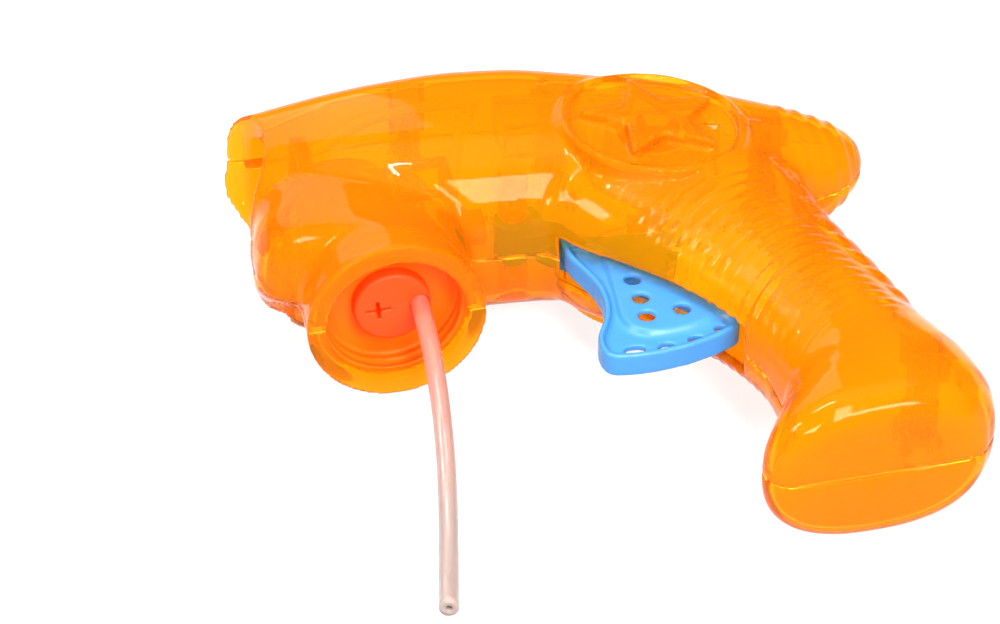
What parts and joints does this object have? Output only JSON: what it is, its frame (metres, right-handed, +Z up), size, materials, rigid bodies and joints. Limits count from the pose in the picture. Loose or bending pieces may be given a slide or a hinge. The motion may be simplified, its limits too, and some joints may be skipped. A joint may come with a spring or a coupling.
{
  "type": "bubble blower",
  "caption": "Pistol-shaped hand bubble blower: translucent two-half casing, trigger that turns a fan through gears and works a small pump, refill socket with dip tube.",
  "frame": {"origin": "middle of the casing's box, on the table plane that the toy lies on with its right side down", "axes": "+X from the muzzle to the rear of the barrel, +Y from the grip's end to the barrel's top, +Z up out of the toy's left side"},
  "size_m": [0.1398, 0.1374, 0.0444],
  "materials": {
    "clear_orange": "glossy translucent orange styrene",
    "orange_red": "satin moulded plastic",
    "soft_orange": "soft satin elastomer",
    "milky_tube": "milky soft tubing",
    "clear_yellow": "clear tinted plastic",
    "blue": "semi-gloss moulded plastic",
    "steel": "bright steel",
    "white_nylon": "matte nylon"
  },
  "bodies": {
    "casing": {"shell_left": "clear_orange", "shell_right": "clear_orange", "socket_insert": "orange_red", "seal_disc": "soft_orange", "dip_tube": "milky_tube", "suction_tube": "milky_tube", "feed_tube": "milky_tube", "bubble_ring": "soft_orange", "pump_barrel": "orange_red", "pump_spring": "steel", "trigger_pin": "steel", "first_gear_axle": "steel", "fan_axle": "steel", "gear_plate": "white_nylon", "fan_housing": "clear_yellow", "fan_cover": "clear_yellow", "casing_screw_1": "steel", "casing_screw_2": "steel", "casing_screw_3": "steel", "casing_screw_4": "steel", "casing_screw_5": "steel", "casing_screw_6": "steel", "plate_screw_1": "steel", "plate_screw_2": "steel"},
    "trigger_lever": {"trigger": "blue"},
    "gear": {"first_gear": "white_nylon"},
    "fan_wheel": {"fan": "orange_red"},
    "plunger": {"pump_plunger": "white_nylon"}
  },
  "joints": [
    {"name": "trigger_pull", "type": "hinge", "parent": "casing", "child": "trigger_lever", "pos_m": [-0.01281, 0.02554, 0.0222], "axis": [0, 0, 1], "range_deg": [0, 14], "stiffness_Nm_per_rad": 0.2, "springref_deg": -11.46},
    {"name": "first_gear_spin", "type": "hinge", "parent": "casing", "child": "gear", "pos_m": [0.02619, 0.01287, 0.0222], "axis": [0, 0, 1], "range_deg": [-102, 1]},
    {"name": "fan_spin", "type": "hinge", "parent": "casing", "child": "fan_wheel", "pos_m": [0.02027, 0.03223, 0.0222], "axis": [0, 0, 1], "range_deg": [-1, 354]},
    {"name": "pump_stroke", "type": "slide", "parent": "casing", "child": "plunger", "axis": [-1, 0, 0], "range_m": [0, 0.0025], "deforming": ["pump_spring"]}
  ],
  "couplings": [
    {"joint": "first_gear_spin", "follows": "trigger_pull", "ratio": -7.2},
    {"joint": "fan_spin", "follows": "trigger_pull", "ratio": 25.2},
    {"joint": "pump_stroke", "follows": "trigger_pull", "m_per_rad": 0.0098}
  ]
}
